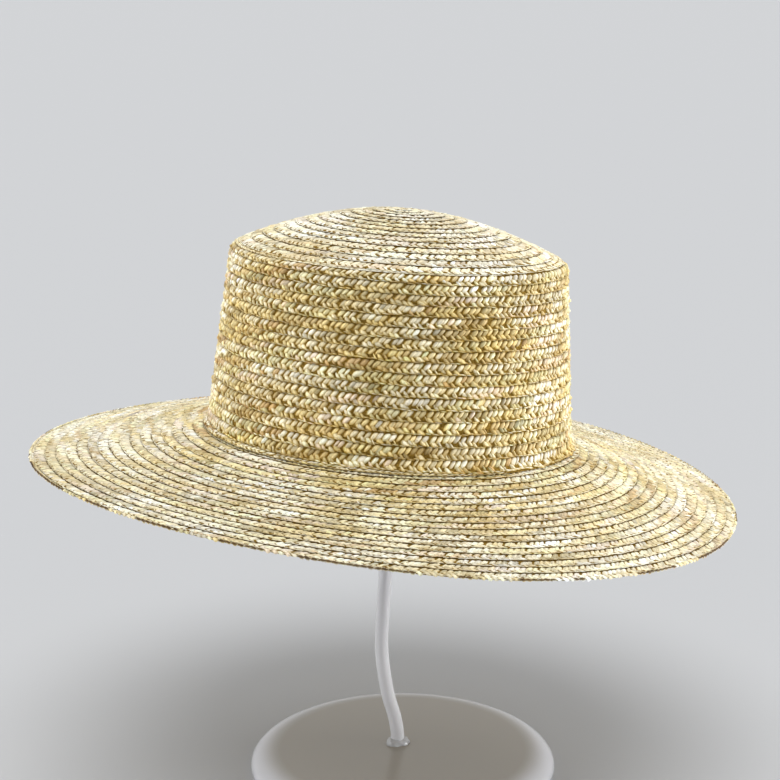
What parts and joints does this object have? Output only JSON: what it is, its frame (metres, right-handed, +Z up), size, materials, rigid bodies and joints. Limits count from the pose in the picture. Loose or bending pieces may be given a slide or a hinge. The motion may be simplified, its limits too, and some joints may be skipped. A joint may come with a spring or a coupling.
{
  "type": "straw boater on a clear display stand",
  "caption": "Wide-brimmed straw boater sewn from plaited braid, resting crown-up on a plain clear plastic stand with a bent rod and a round base.",
  "frame": {"origin": "centre of the underside of the stand's round base", "axes": "+Z up, +X to the right and -Y towards the side that the picture shows"},
  "size_m": [0.3849, 0.359, 0.3202],
  "materials": {
    "straw_braid": "plaited natural straw with a slight sheen",
    "stand_milky": "milky translucent, polished",
    "stand_clear": "clear, polished"
  },
  "bodies": {
    "root": {"crown_tip": "straw_braid", "crown_side": "straw_braid", "brim": "straw_braid", "stand_base": "stand_milky", "stand_collar": "stand_clear", "stand_stem": "stand_clear", "stand_cap": "stand_clear"}
  },
  "joints": []
}
